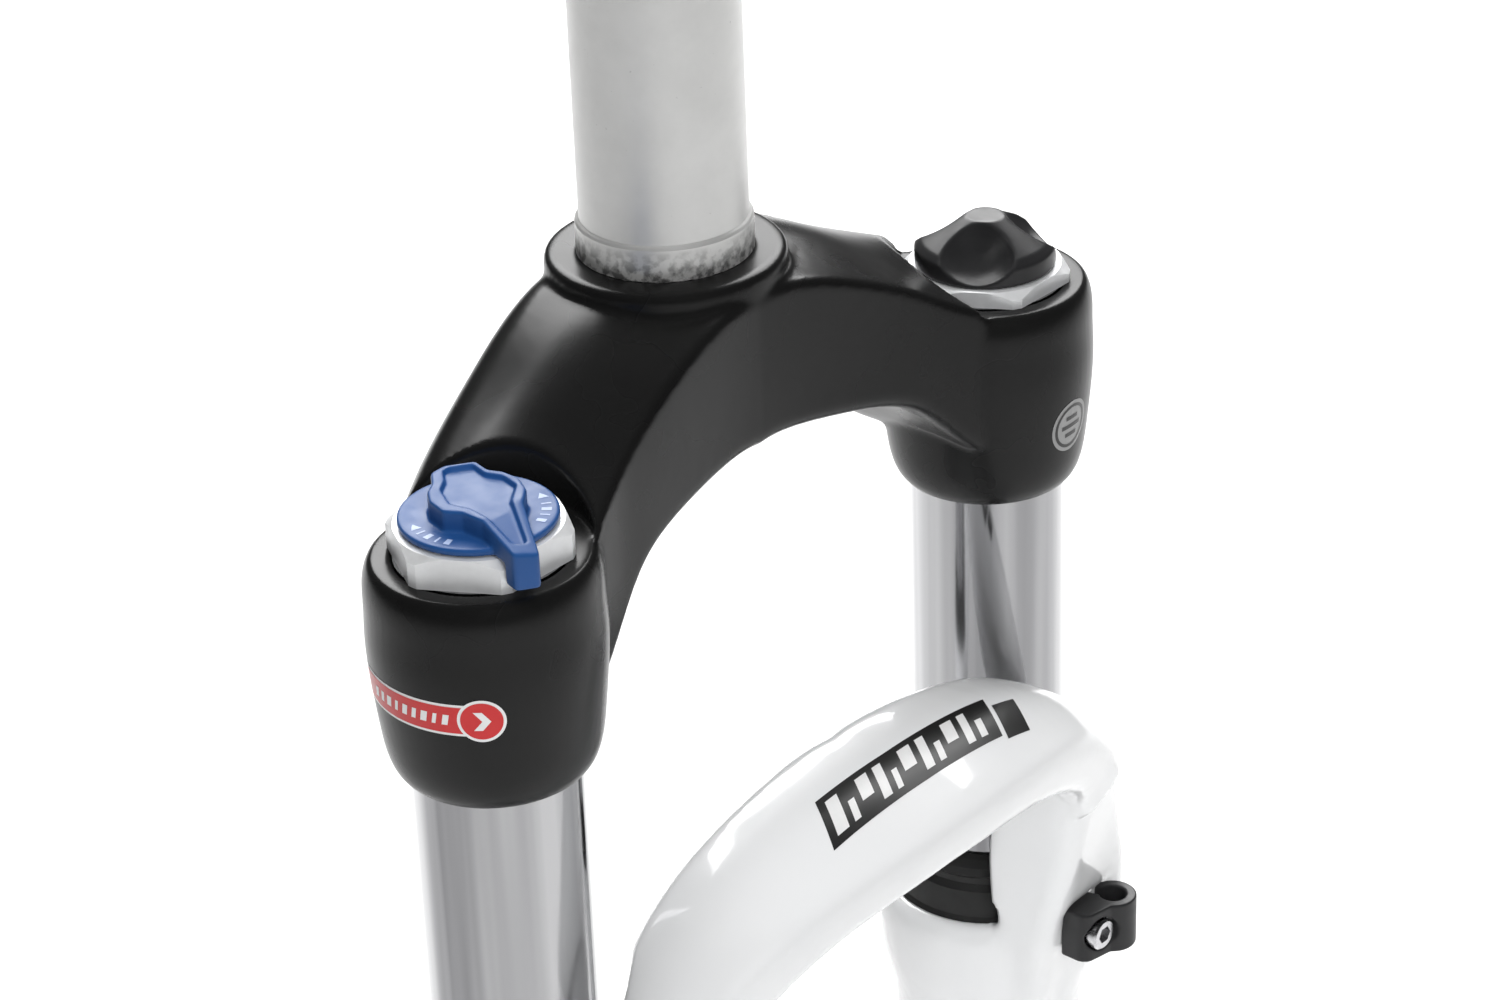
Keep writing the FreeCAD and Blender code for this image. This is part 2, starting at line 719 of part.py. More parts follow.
def dropout():
    """The left dropout, ahead of and below the end of the leg."""
    circles = [(AXLE_Y, AXLE_Z, DROPOUT_R), (-24.0, -437.0, 15.0), (LEG_Y, -405.0, 14.0)]
    return hull_of_circles(circles, DROPOUT_INNER_X, DROPOUT_OUTER_X)


def dropout_cuts():
    """The open slot for the axle and the recess that keeps its nut in place."""
    slot = cross_rod(AXLE_SLOT_R, Vector(40, AXLE_Y, AXLE_Z), X_AXIS, 30)
    low = AXLE_Z - DROPOUT_R - 5
    mouth = block(40, 70, AXLE_Y - AXLE_SLOT_R, AXLE_Y + AXLE_SLOT_R, low, AXLE_Z)
    start = Vector(DROPOUT_OUTER_X - LIP_DEPTH, AXLE_Y, AXLE_Z)
    lip = cross_rod(LIP_R, start, X_AXIS, LIP_DEPTH + 5)
    return slot.fuse([mouth, lip])


def brake_mount():
    """Two posts and the web behind the left leg that carries them."""
    upper_z = BRAKE_LOWER_Z + BRAKE_BOLT_SPACING
    web_circles = [(-8.0, BRAKE_LOWER_Z, 7.5), (-12.0, -430.0, 9.0), (-12.0, upper_z, 8.0)]
    web = hull_of_circles(web_circles, BRAKE_POST_X - 5.0, BRAKE_POST_X + 4.0)
    posts = []
    for z in (BRAKE_LOWER_Z, upper_z):
        start = Vector(BRAKE_POST_X, -20.0, z)
        posts.append(cross_rod(BRAKE_POST_R, start, Y_AXIS, BRAKE_FACE_Y + 20.0))
    return web.fuse(posts)


def brake_threads():
    """Blind threaded holes in the posts."""
    start_y = BRAKE_FACE_Y - BRAKE_THREAD_DEPTH
    holes = []
    for z in (BRAKE_LOWER_Z, BRAKE_LOWER_Z + BRAKE_BOLT_SPACING):
        start = Vector(BRAKE_POST_X, start_y, z)
        holes.append(cross_rod(BRAKE_THREAD_R, start, Y_AXIS, BRAKE_THREAD_DEPTH + 5.0))
    return holes


def leg_cuts():
    """Everything bored out of the left leg."""
    bore = rod(CASTING_BORE_R, BORE_FLOOR, -60.0, LEG_X, LEG_Y)
    seat = rod(WIPER_SEAT_R, FOAM_BOTTOM, -60.0, LEG_X, LEG_Y)
    clearance = rod(CROWN_CLEARANCE_R, CASTING_TOP, -60.0, LEG_X, LEG_Y)
    foot_hole = rod(FOOT_BOLT_R + 0.25, -470.0, -420.0, LEG_X, LEG_Y)
    recess = rod(FOOT_RECESS_R, -475.0, FOOT_RECESS_TOP, LEG_X, LEG_Y)
    return [bore, seat, clearance, foot_hole, recess]


def guide_boss():
    """Boss for the hose guide's screw, on the front of the left leg."""
    start = Vector(GUIDE_SCREW_X, -30.0, GUIDE_Z)
    return cross_rod(4.2, start, Y_AXIS.negative(), -30.0 - GUIDE_BACK_Y)


def guide_cuts():
    """The flat that the hose guide sits on and the threaded hole for its screw."""
    low = GUIDE_Z - GUIDE_HEIGHT / 2 - 0.3
    high = GUIDE_Z + GUIDE_HEIGHT / 2 + 0.3
    front = GUIDE_BACK_Y - 10.0
    flat = block(GUIDE_LEFT_X - 0.3, HOSE_X + 5.0, front, GUIDE_BACK_Y, low, high)
    start = Vector(GUIDE_SCREW_X, GUIDE_BACK_Y - 2.0, GUIDE_Z)
    return [flat, cross_rod(GUIDE_THREAD_R, start, Y_AXIS, 8.0)]


def lower_casting():
    """Both lower legs and the brace between them, cast in one piece."""
    half = turned_smooth(LOWER_LEG_PROFILE, LEG_X, LEG_Y)
    for piece in (brace_foot(), half_brace(), dropout()):
        half = half.fuse(piece)
    for cut in leg_cuts() + [dropout_cuts()]:
        half = half.cut(cut)
    body = half.fuse(mirrored(half))
    for extra in (brake_mount(), guide_boss()):
        for cut in leg_cuts():
            extra = extra.cut(cut)
        body = body.fuse(extra)
    for cut in brake_threads() + guide_cuts():
        body = body.cut(cut)
    return body.removeSplitter()


def wiper():
    """Rubber dust wiper: a grooved collar above the casting and a plug inside it."""
    lip_r = STANCHION_R + 0.04
    profile = [
        (lip_r, WIPER_TOP + 0.4),
        (15.4, WIPER_TOP),
        (16.9, -139.6),
        (17.4, -141.0),
        (16.6, -142.0),
        (16.6, -143.2),
        (17.6, -144.4),
        (18.2, -149.6),
        (18.8, CASTING_TOP),
        (WIPER_SEAT_R, CASTING_TOP),
        (WIPER_SEAT_R, WIPER_SEAT_BOTTOM),
        (15.0, WIPER_SEAT_BOTTOM),
        (15.0, -142.0),
        (lip_r, -140.5),
    ]
    return turned(profile, LEG_X, LEG_Y)


def foam_ring():
    """Oiled foam ring under the wiper."""
    return tube(WIPER_SEAT_R, STANCHION_R + 0.3, FOAM_BOTTOM, WIPER_SEAT_BOTTOM, LEG_X, LEG_Y)


def bushing(top):
    """Bushing that guides the stanchion."""
    bottom = top - BUSHING_LENGTH
    return tube(CASTING_BORE_R, BUSHING_BORE_R, bottom, top, LEG_X, LEG_Y)


def bottom_out_bumper():
    """Rubber bumper round the rod, on the floor of the leg."""
    profile = [
        (5.0, BORE_FLOOR),
        (12.0, BORE_FLOOR),
        (12.0, BORE_FLOOR + 16.0),
        (13.4, BUMPER_TOP),
        (5.0, BUMPER_TOP),
    ]
    return turned(profile, LEG_X, LEG_Y)


def foot_bolt():
    """Socket-head bolt that fastens the rod to the foot of the leg."""
    bottom = FOOT_RECESS_TOP - 1.2
    head = rod(6.5, bottom - 6.5, bottom)
    head = head.cut(hexagon(5.0, bottom - 8.0, bottom - 3.0))
    shank = rod(FOOT_BOLT_R - 0.8, bottom, BORE_FLOOR + 12.0)
    bolt = head.fuse(shank)
    bolt.translate(Vector(LEG_X, LEG_Y, 0))
    return bolt.removeSplitter()


def foot_washer():
    """Crush washer under the head of the foot bolt."""
    return tube(8.0, FOOT_BOLT_R - 0.8, FOOT_RECESS_TOP - 1.2, FOOT_RECESS_TOP, LEG_X, LEG_Y)


def hose_guide():
    """Moulded clip: a pad held by one screw, with a hook that the brake hose snaps into."""
    low = GUIDE_Z - GUIDE_HEIGHT / 2
    high = GUIDE_Z + GUIDE_HEIGHT / 2
    corners = [
        Vector(GUIDE_LEFT_X, GUIDE_BACK_Y, low),
        Vector(GUIDE_LEFT_X, GUIDE_FRONT_Y, low),
        Vector(HOSE_X, GUIDE_FRONT_Y - 2.0, low),
        Vector(HOSE_X - HOSE_R - 0.2, GUIDE_BACK_Y, low),
    ]
    pad = Part.Face(rounded_loop(corners, [0.4, 2.6, 2.0, 0.4]))
    pad = pad.extrude(Vector(0, 0, GUIDE_HEIGHT))
    hook = rod(HOSE_R + GUIDE_WALL, low, high, HOSE_X, HOSE_Y)
    hook = hook.cut(block(0.0, HOSE_X, HOSE_Y, 0.0, low - 1, high + 1))
    guide = pad.fuse(hook).cut(rod(HOSE_R, low - 1, high + 1, HOSE_X, HOSE_Y))
    start = Vector(GUIDE_SCREW_X, 0.0, GUIDE_Z)
    hole = cross_rod(GUIDE_THREAD_R + 0.2, start, Y_AXIS.negative(), 60.0)
    start.y = GUIDE_FRONT_Y + 2.0
    seat = cross_rod(GUIDE_HEAD_R + 0.3, start, Y_AXIS.negative(), 9.0)
    return guide.cut(hole).cut(seat).removeSplitter()


def hose_guide_bolt():
    """Socket-head screw of the hose guide."""
    under_head = Vector(GUIDE_SCREW_X, GUIDE_FRONT_Y + 2.0, GUIDE_Z)
    forward = Y_AXIS.negative()
    head = cross_rod(GUIDE_HEAD_R, under_head, forward, GUIDE_HEAD_HEIGHT)
    head = head.makeChamfer(0.4, [head.Edges[0], head.Edges[2]])
    length = GUIDE_BACK_Y + 5.0 - under_head.y
    shank = cross_rod(GUIDE_THREAD_R, under_head, Y_AXIS, length)
    socket = hexagon(3.0, 0.0, 2.2)
    socket.Placement = Placement(under_head + forward * GUIDE_HEAD_HEIGHT, Rotation(X_AXIS, -90))
    return head.fuse(shank).cut(socket).removeSplitter()


def save_pair(name, shape):
    """Write the left piece and its mirror image as two nodes."""
    save("left_" + name, shape)
    save("right_" + name, mirrored(shape))


os.makedirs("parts", exist_ok=True)

save("crown", crown())
save("steerer_tube", steerer_tube())
save_pair("stanchion", stanchion())
save("lockout_top_cap", lockout_top_cap())
save("preload_top_cap", preload_top_cap())
save("top_cap_o_rings", top_cap_o_rings())

save("lockout_knob", lockout_knob())
save("lockout_valve_rod", lockout_valve_rod())
save("lockout_valve_body", lockout_valve_body())
save("damper_cartridge", damper_cartridge())
save("damper_seal_head", damper_seal_head())
save("damper_rod_seal", damper_rod_seal())
save("damper_rod", damper_rod())
save("damper_piston", damper_piston())
save("damper_piston_ring", damper_piston_ring())
save("damper_piston_nut", damper_piston_nut())

save("preload_knob", preload_knob())
save("preload_spindle", preload_spindle())
save("preload_nut", preload_nut())
save("main_spring", main_spring())
save("spring_lower_seat", spring_lower_seat())
save("spring_support_rod", spring_support_rod())
save("stanchion_end_plug", stanchion_end_plug())
save("topout_spring", topout_spring())

save("lower_casting", lower_casting())
save_pair("wiper", wiper())
save_pair("foam_ring", foam_ring())
save_pair("upper_bushing", bushing(UPPER_BUSHING_TOP))
save_pair("lower_bushing", bushing(LOWER_BUSHING_TOP))
save_pair("bottom_out_bumper", bottom_out_bumper())
save("foot_bolts", both(foot_bolt()))
save("foot_washers", both(foot_washer()))
save("hose_guide", hose_guide())
save("hose_guide_bolt", hose_guide_bolt())
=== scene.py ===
"""Suspension fork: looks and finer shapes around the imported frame, in metres.

+Z runs up the steerer, the fork faces -Y and +X is the rider's left. CAD nodes whose shape
is right keep it and get a material. Castings and mouldings are replaced by softened copies
with cast fillets and rounded edges, and the graphics are thin raised patches.
"""

import json
import math

import bpy
import numpy as np
import openvdb
from mathutils import Matrix, Vector
from mathutils.bvhtree import BVHTree

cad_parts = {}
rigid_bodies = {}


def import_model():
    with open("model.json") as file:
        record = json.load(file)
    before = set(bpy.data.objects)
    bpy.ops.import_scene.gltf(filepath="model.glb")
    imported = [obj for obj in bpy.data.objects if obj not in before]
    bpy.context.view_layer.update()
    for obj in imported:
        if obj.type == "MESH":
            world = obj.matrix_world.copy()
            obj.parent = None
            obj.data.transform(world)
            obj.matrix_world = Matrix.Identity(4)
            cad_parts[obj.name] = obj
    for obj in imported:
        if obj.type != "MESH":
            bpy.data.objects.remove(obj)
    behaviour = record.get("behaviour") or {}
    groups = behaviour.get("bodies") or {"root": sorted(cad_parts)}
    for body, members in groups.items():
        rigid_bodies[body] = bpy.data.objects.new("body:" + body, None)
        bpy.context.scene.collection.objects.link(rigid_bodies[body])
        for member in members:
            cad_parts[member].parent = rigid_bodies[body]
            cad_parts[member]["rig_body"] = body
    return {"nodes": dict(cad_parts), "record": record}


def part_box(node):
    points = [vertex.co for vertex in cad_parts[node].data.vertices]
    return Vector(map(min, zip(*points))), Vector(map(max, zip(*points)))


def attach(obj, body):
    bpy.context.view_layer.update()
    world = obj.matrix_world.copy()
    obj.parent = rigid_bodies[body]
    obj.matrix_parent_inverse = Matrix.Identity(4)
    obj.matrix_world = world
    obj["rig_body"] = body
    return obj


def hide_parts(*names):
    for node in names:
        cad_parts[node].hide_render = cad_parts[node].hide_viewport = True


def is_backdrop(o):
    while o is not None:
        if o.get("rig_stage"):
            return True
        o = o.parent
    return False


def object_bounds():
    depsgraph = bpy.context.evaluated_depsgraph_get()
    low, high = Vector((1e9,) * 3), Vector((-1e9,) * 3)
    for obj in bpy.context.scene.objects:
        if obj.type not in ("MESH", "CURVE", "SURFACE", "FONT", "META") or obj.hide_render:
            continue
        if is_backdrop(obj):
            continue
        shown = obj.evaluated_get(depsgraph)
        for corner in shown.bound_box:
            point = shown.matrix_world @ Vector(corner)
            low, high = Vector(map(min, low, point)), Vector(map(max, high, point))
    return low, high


MM = 0.001

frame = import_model()
cad_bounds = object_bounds()
NODES = frame["nodes"]

# Both leg axes, found from the stanchions
low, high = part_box("left_stanchion")
LEG_X = (low.x + high.x) / 2
LEG_Y = (low.y + high.y) / 2
FLOOR_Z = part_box("lower_casting")[0].z

SLOTS = {row["node"]: row["material_slot"] for row in frame["record"]["subparts"]}

# Bores that stay open, and the race seat on the steerer
STEERER_R = 14.3 * MM
STANCHION_R = 14.0 * MM
POCKET_R = 18.2 * MM
WIPER_SEAT_R = 17.0 * MM
RACE_SEAT_TOP = 5.5 * MM
RACE_SEAT_EDGE = 0.6 * MM

# Where graphics lie, in mm as their outlines are, and where the rays for them start
DIAL_TOP = -17.5
SLEEVE_R = 19.25
RAY_START = 40 * MM
ABOVE_BRACE = -66 * MM


# Materials


class Shading:
    """Builds one node material with short calls."""

    def __init__(self, name):
        self.material = bpy.data.materials.new(name)
        self.material.use_nodes = True
        self.tree = self.material.node_tree
        self.shader = self.tree.nodes["Principled BSDF"]
        self.place = self.tree.nodes.new("ShaderNodeTexCoord").outputs["Object"]

    def set(self, **values):
        """Uniform values on the shader's own sockets."""
        for key, value in values.items():
            self.shader.inputs[key.replace("_", " ")].default_value = value

    def link(self, source, target):
        self.tree.links.new(source, target)

    def noise(self, scale, detail=3.0, stretch=(1, 1, 1)):
        """Noise in object space, about 0.5 all over."""
        mapping = self.tree.nodes.new("ShaderNodeMapping")
        mapping.inputs["Scale"].default_value = stretch
        self.link(self.place, mapping.inputs["Vector"])
        node = self.tree.nodes.new("ShaderNodeTexNoise")
        node.inputs["Scale"].default_value = scale
        node.inputs["Detail"].default_value = detail
        self.link(mapping.outputs["Vector"], node.inputs["Vector"])
        return node.outputs["Fac"]

    def remap(self, value, low, high, to_low, to_high):
        """Stretches a range of a value to another range, clamped."""
        node = self.tree.nodes.new("ShaderNodeMapRange")
        for key, number in zip(("From Min", "From Max", "To Min", "To Max"), (low, high, to_low, to_high)):
            node.inputs[key].default_value = number
        self.link(value, node.inputs["Value"])
        return node.outputs["Result"]

    def height(self):
        """The Z coordinate."""
        node = self.tree.nodes.new("ShaderNodeSeparateXYZ")
        self.link(self.place, node.inputs["Vector"])
        return node.outputs["Z"]

    def math(self, operation, first, second):
        node = self.tree.nodes.new("ShaderNodeMath")
        node.operation = operation
        for socket, value in zip(node.inputs, (first, second)):
            if isinstance(value, (int, float)):
                socket.default_value = value
            else:
                self.link(value, socket)
        return node.outputs["Value"]

    def mix(self, factor, first, second):
        """Colour between two; either is a colour or a socket."""
        node = self.tree.nodes.new("ShaderNodeMix")
        node.data_type = "RGBA"
        self.link(factor, node.inputs["Factor"])
        colours = [s for s in node.inputs if s.type == "RGBA"]
        for socket, value in zip(colours, (first, second)):
            if isinstance(value, tuple):
                socket.default_value = (*value, 1.0)
            else:
                self.link(value, socket)
        return [s for s in node.outputs if s.type == "RGBA"][0]

    def colour(self, source):
        self.link(source, self.shader.inputs["Base Color"])

    def roughness(self, source):
        self.link(source, self.shader.inputs["Roughness"])

    def bump(self, value, strength, distance):
        """A surface relief, distance in metres."""
        node = self.tree.nodes.new("ShaderNodeBump")
        node.inputs["Strength"].default_value = strength
        node.inputs["Distance"].default_value = distance
        self.link(value, node.inputs["Height"])
        self.link(node.outputs["Normal"], self.shader.inputs["Normal"])


def paint(name, base, shade, roughness, coat, specular):
    """Gloss paint: a faint unevenness in tone and a slight orange peel."""
    s = Shading(name)
    s.colour(s.mix(s.noise(60.0), shade, base))
    s.roughness(s.remap(s.noise(35.0), 0.3, 0.7, roughness * 0.85, roughness * 1.2))
    s.set(Coat_Weight=coat, Coat_Roughness=0.06, Specular_IOR_Level=specular)
    s.bump(s.noise(900.0, 2.0), 0.05, 0.0001)
    return s.material


def metal(name, base, shade, roughness, stretch=(1, 1, 1), relief=0.08, share=1.0):
    """Bare metal with fine marks, squeezed along an axis by stretch; share is how metallic it is."""
    s = Shading(name)
    marks = s.noise(400.0, 4.0, stretch)
    s.colour(s.mix(s.remap(marks, 0.35, 0.65, 0.0, 1.0), shade, base))
    s.roughness(s.remap(marks, 0.3, 0.7, roughness * 0.7, roughness * 1.3))
    s.set(Metallic=share)
    s.bump(marks, relief, 0.00005)
    return s.material


def moulded(name, base, shade, roughness, scale=300.0, relief=0.1):
    """Plastic, rubber or foam with a fine grain."""
    s = Shading(name)
    s.colour(s.mix(s.noise(scale * 0.3), shade, base))
    s.roughness(s.remap(s.noise(scale), 0.3, 0.7, roughness * 0.85, min(1.0, roughness * 1.15)))
    s.set(Specular_IOR_Level=0.35)
    s.bump(s.noise(scale * 4.0, 2.0), relief, 0.0001)
    return s.material


def steerer_steel():
    """Even satin steel; the race seat at its foot is blasted, with grainy stains low down."""
    s = Shading("steerer_steel")
    grain = s.noise(90.0, 5.0)
    clean = s.mix(s.remap(grain, 0.3, 0.7, 0.0, 1.0), (0.66, 0.66, 0.65), (0.76, 0.76, 0.75))
    specks = s.remap(s.noise(900.0, 2.0), 0.74, 0.80, 0.0, 0.3)
    worn = s.mix(specks, clean, (0.22, 0.22, 0.22))
    height = s.height()
    low_down = s.remap(height, 0.0, RACE_SEAT_TOP, 0.95, 0.05)
    stains = s.math("MULTIPLY", s.remap(s.noise(650.0, 6.0), 0.42, 0.60, 0.0, 1.0), low_down)
    seat = s.mix(stains, (0.66, 0.66, 0.65), (0.08, 0.08, 0.08))
    foot = s.remap(height, RACE_SEAT_TOP - RACE_SEAT_EDGE, RACE_SEAT_TOP, 1.0, 0.0)
    s.colour(s.mix(foot, worn, seat))
    s.roughness(s.remap(grain, 0.3, 0.7, 0.36, 0.46))
    s.set(Metallic=0.55, Specular_IOR_Level=0.4)
    s.bump(grain, 0.06, 0.0001)
    return s.material


def chrome():
    """Hard chrome, a mirror, with long streaks down the tube painted into its colour as dark and light
    reflection bands: painted reflection.
    """
    s = Shading("chromed_tube")
    painted_reflection_streaks = s.noise(110.0, 3.0, (1, 1, 0.02))
    # Streaks down the tube darken and lighten the colour: painted reflection bands, not the plating's own
    # tone.
    s.colour(s.mix(s.remap(painted_reflection_streaks, 0.35, 0.65, 0.0, 1.0), (0.24, 0.24, 0.25), (0.54, 0.54, 0.55)))
    s.roughness(s.remap(painted_reflection_streaks, 0.3, 0.7, 0.08, 0.16))
    s.set(Metallic=1.0)
    return s.material


def build_materials():
    """One material for each slot of the record: base tone, shade and finish."""
    blasted = {"roughness": 0.45, "relief": 0.02, "share": 0.4}
    drawn = {"roughness": 0.32, "stretch": (1, 1, 6)}
    turned = {"roughness": 0.25, "stretch": (1, 1, 8)}
    metals = {
        "cap_aluminium": ((0.88, 0.89, 0.90), (0.82, 0.83, 0.84), blasted),
        "inner_aluminium": ((0.74, 0.75, 0.76), (0.66, 0.67, 0.68), drawn),
        "turned_steel": ((0.60, 0.60, 0.61), (0.52, 0.52, 0.53), turned),
        "spring_steel": ((0.28, 0.29, 0.31), (0.20, 0.21, 0.23), {"roughness": 0.35}),
        "bolt_steel": ((0.68, 0.68, 0.69), (0.58, 0.58, 0.60), {"roughness": 0.28}),
        "washer_steel": ((0.62, 0.62, 0.64), (0.54, 0.54, 0.56), {"roughness": 0.34}),
        "brass": ((0.72, 0.54, 0.24), (0.62, 0.45, 0.19), {"roughness": 0.3}),
    }
    mouldings = {
        "black_rubber": ((0.022, 0.022, 0.022), (0.014, 0.014, 0.014), {"roughness": 0.55}),
        "bumper_rubber": ((0.06, 0.05, 0.045), (0.04, 0.035, 0.03), {"roughness": 0.7}),
        "foam": ((0.20, 0.20, 0.19), (0.10, 0.10, 0.10), {"roughness": 0.95, "scale": 500.0, "relief": 0.8}),
        "blue_plastic": ((0.020, 0.088, 0.28), (0.016, 0.070, 0.23), {"roughness": 0.40, "relief": 0.03}),
        "black_plastic": ((0.022, 0.022, 0.023), (0.016, 0.016, 0.017), {"roughness": 0.35, "relief": 0.03}),
        "clip_plastic": ((0.026, 0.026, 0.027), (0.018, 0.018, 0.019), {"roughness": 0.42}),
        "inner_plastic": ((0.72, 0.71, 0.66), (0.64, 0.63, 0.58), {"roughness": 0.4}),
        "bushing_plastic": ((0.20, 0.24, 0.22), (0.14, 0.17, 0.16), {"roughness": 0.45}),
    }
    satin = {"roughness": 0.27, "coat": 0.0, "specular": 0.24}
    gloss = {"roughness": 0.22, "coat": 0.7, "specular": 0.3}
    paints = {
        "black_paint": ((0.010, 0.010, 0.010), (0.007, 0.007, 0.007), satin),
        "white_paint": ((0.88, 0.885, 0.89), (0.84, 0.85, 0.86), gloss),
    }
    made = {"steerer_steel": steerer_steel(), "chromed_tube": chrome()}
    for make, group in ((metal, metals), (moulded, mouldings), (paint, paints)):
        for name, (base, shade, finish) in group.items():
            made[name] = make(name, base, shade, **finish)
    return made


def dress_nodes(materials):
    """Every CAD node gets the material of its slot."""
    for name, node in NODES.items():
        node.data.materials.clear()
        node.data.materials.append(materials[SLOTS[name]])


# Castings and mouldings


def closed_field(node, voxel, reach):
    """Signed distance to a CAD node's surface on a grid, as an array and its corner point."""
    mesh = node.data
    mesh.calc_loop_triangles()
    points = np.empty(len(mesh.vertices) * 3, np.float32)
    mesh.vertices.foreach_get("co", points)
    points = points.reshape(-1, 3)
    triangles = np.empty(len(mesh.loop_triangles) * 3, np.uint32)
    mesh.loop_triangles.foreach_get("vertices", triangles)
    triangles = triangles.reshape(-1, 3)
    transform = openvdb.createLinearTransform(voxelSize=voxel)
    grid = openvdb.FloatGrid.createLevelSetFromPolygons(
        points, triangles=triangles, transform=transform, halfWidth=reach / voxel + 2.0
    )
    margin = int(reach / voxel) + 3
    start = np.floor(points.min(0) / voxel).astype(int) - margin
    end = np.ceil(points.max(0) / voxel).astype(int) + margin
    field = np.empty(tuple(end - start), np.float32)
    grid.copyToArray(field, ijk=tuple(int(i) for i in start))
    return field, start


def blurred(field, sigma):
    """The field after a Gaussian blur, sigma in voxels."""
    half = int(math.ceil(sigma * 3))
    kernel = np.exp(-0.5 * (np.arange(-half, half + 1) / sigma) ** 2)
    kernel = (kernel / kernel.sum()).astype(np.float32)
    for axis in range(3):
        padded = np.pad(field, [(half, half) if a == axis else (0, 0) for a in range(3)], mode="edge")
        total = np.zeros_like(field)
        for step, weight in enumerate(kernel):
            window = [slice(None)] * 3
            window[axis] = slice(step, step + field.shape[axis])
            total += weight * padded[tuple(window)]
        field = total
    return field


def bore(field, start, voxel, centre, radius, bottom, top):
    """Cuts an upright cylinder out of the field, so that a fillet can't close a bore."""
    shape = field.shape
    x = (np.arange(shape[0]) + start[0]) * voxel - centre[0]
    y = (np.arange(shape[1]) + start[1]) * voxel - centre[1]
    z = (np.arange(shape[2]) + start[2]) * voxel
    side = np.sqrt(x[:, None] ** 2 + y[None, :] ** 2) - radius
    ends = np.maximum(bottom - z, z - top)
    inside = np.maximum(side[:, :, None], ends[None, None, :])
    return np.maximum(field, -inside.astype(np.float32))


def mesh_of(field, start, voxel, name):
    """A smooth-shaded object on the field's zero surface."""
    grid = openvdb.FloatGrid(float(field.max()))
    grid.transform = openvdb.createLinearTransform(voxelSize=voxel)
    grid.copyFromArray(field, ijk=tuple(int(i) for i in start))
    points, quads = grid.convertToQuads(0.0)
    mesh = bpy.data.meshes.new(name)
    mesh.from_pydata(points.tolist(), [], quads[:, ::-1].tolist())
    mesh.validate()
    mesh.polygons.foreach_set("use_smooth", [True] * len(mesh.polygons))
    piece = bpy.data.objects.new(name, mesh)
    bpy.context.scene.collection.objects.link(piece)
    return piece


def softened(node_name, voxel, round_mm, fillet_mm, bores=()):
    """A copy of a CAD node with rounded edges and filled inner corners, standing for the node."""
    reach = max(3.0 * fillet_mm, 3.0 * round_mm, 1.5) * MM
    field, start = closed_field(NODES[node_name], voxel, reach)
    rounded = blurred(field, round_mm * MM / voxel)
    if fillet_mm > 0:
        filled = blurred(field, fillet_mm * MM / voxel)
        rounded = np.minimum(rounded, filled)
    for centre, radius, bottom, top in bores:
        rounded = bore(rounded, start, voxel, centre, radius, bottom, top)
    piece = mesh_of(rounded, start, voxel, node_name + "_surface")
    piece.data.materials.append(MATERIALS[SLOTS[node_name]])
    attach(piece, NODES[node_name]["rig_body"])
    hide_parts(node_name)
    return piece


# Graphics, as thin raised patches


def plain(name, colour, roughness, metallic=0.0):
    """A printed or plated film."""
    s = Shading(name)
    darker = tuple(value * 0.9 for value in colour)
    s.colour(s.mix(s.noise(500.0), darker, colour))
    s.set(Roughness=roughness, Metallic=metallic)
    return s.material


def surface_of(piece):
    """Search tree over a piece's surface."""
    mesh = piece.data
    corners = [vertex.co for vertex in mesh.vertices]
    return BVHTree.FromPolygons(corners, [polygon.vertices for polygon in mesh.polygons])


def laid_on(tree, start, direction, lift):
    """The point where a ray meets the surface, lifted off it."""
    place, normal, index, gap = tree.ray_cast(start, direction)
    return place - direction * lift


def around_leg(tree, side, lift):
    """Places (degrees round the leg, height in mm) on the outside of a crown sleeve."""

    def place(angle, height):
        turn = math.radians(angle)
        outward = Vector((math.cos(turn), math.sin(turn), 0.0))
        axis = Vector((side * LEG_X, LEG_Y, height * MM))
        return laid_on(tree, axis + outward * RAY_START, -outward, lift * MM)

    return place


def on_brace(tree, lift):
    """Places (x, y) in mm on top of the brace."""

    def place(x, y):
        above = Vector((x * MM, y * MM, ABOVE_BRACE))
        return laid_on(tree, above, Vector((0, 0, -1)), lift * MM)

    return place


def film(name, rows, material, body):
    """A thin piece from rows of points, all rows the same length."""
    count = len(rows[0])
    points = [point for row in rows for point in row]
    faces = []
    for r in range(len(rows) - 1):
        for c in range(count - 1):
            first = r * count + c
            faces.append((first, first + 1, first + count + 1, first + count))
    mesh = bpy.data.meshes.new(name)
    mesh.from_pydata(points, [], faces)
    mesh.polygons.foreach_set("use_smooth", [True] * len(mesh.polygons))
    mesh.materials.append(material)
    piece = bpy.data.objects.new(name, mesh)
    bpy.context.scene.collection.objects.link(piece)
    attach(piece, body)
    return piece


def quad_rows(place, corners, across, along):
    """Rows that fill a four-sided patch, corners in order round it."""
    a, b, c, d = [Vector(corner) for corner in corners]
    rows = []
    for r in range(across + 1):
        start = a.lerp(d, r / across)
        end = b.lerp(c, r / across)
        rows.append([place(*start.lerp(end, k / along)) for k in range(along + 1)])
    return rows


def disc_rows(place, centre, inner, outer, stretch, rings=3, steps=48):
    """Rows that fill a ring; stretch is the first coordinate's units per mm."""
    rows = []
    for r in range(rings + 1):
        radius = inner + (outer - inner) * r / rings
        row = []
        for k in range(steps + 1):
            turn = 2 * math.pi * k / steps
            x = centre[0] + radius * math.cos(turn) * stretch
            row.append(place(x, centre[1] + radius * math.sin(turn)))
        rows.append(row)
    return rows


